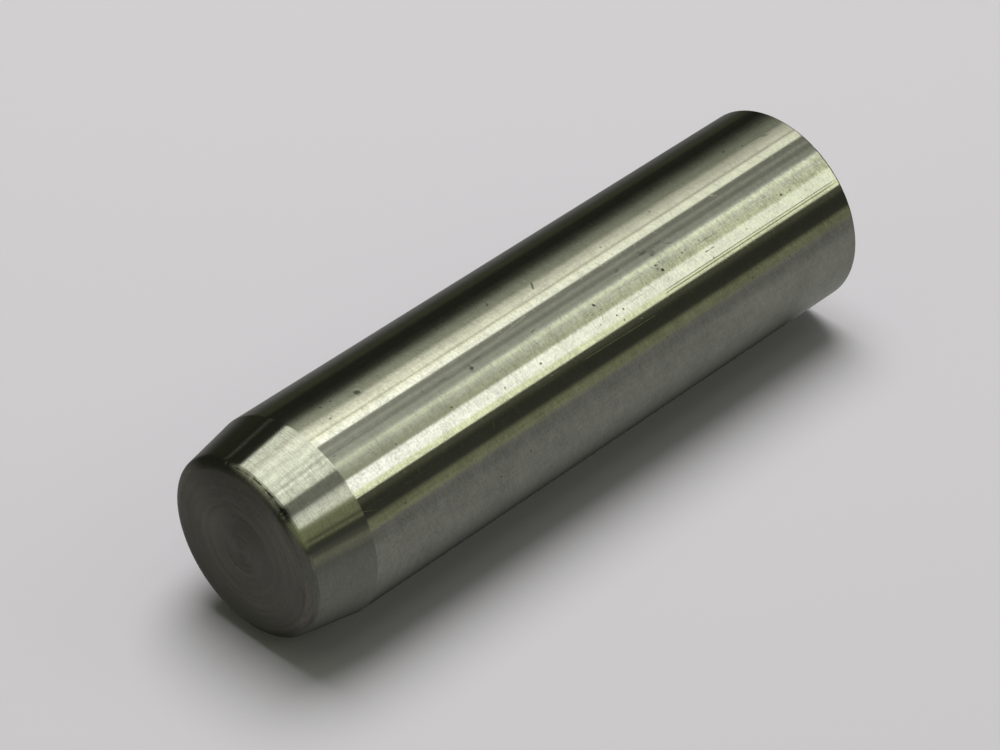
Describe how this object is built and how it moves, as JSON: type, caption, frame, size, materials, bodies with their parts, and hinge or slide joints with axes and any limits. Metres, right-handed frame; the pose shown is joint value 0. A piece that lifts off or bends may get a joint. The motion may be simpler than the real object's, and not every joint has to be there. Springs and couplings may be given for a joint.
{
  "type": "locking pin",
  "caption": "Plain ground steel locking pin with a tapered lead-in nose and a flat tail.",
  "frame": {"origin": "centre of the flat tail face that the pin stands on", "axes": "+Z along the pin's axis, from the tail up to the tapered nose"},
  "size_m": [0.0234, 0.0234, 0.082],
  "materials": {
    "ground_steel": "ground on the shank, turned on the nose and both faces"
  },
  "bodies": {
    "root": {"locking_pin": "ground_steel"}
  },
  "joints": []
}
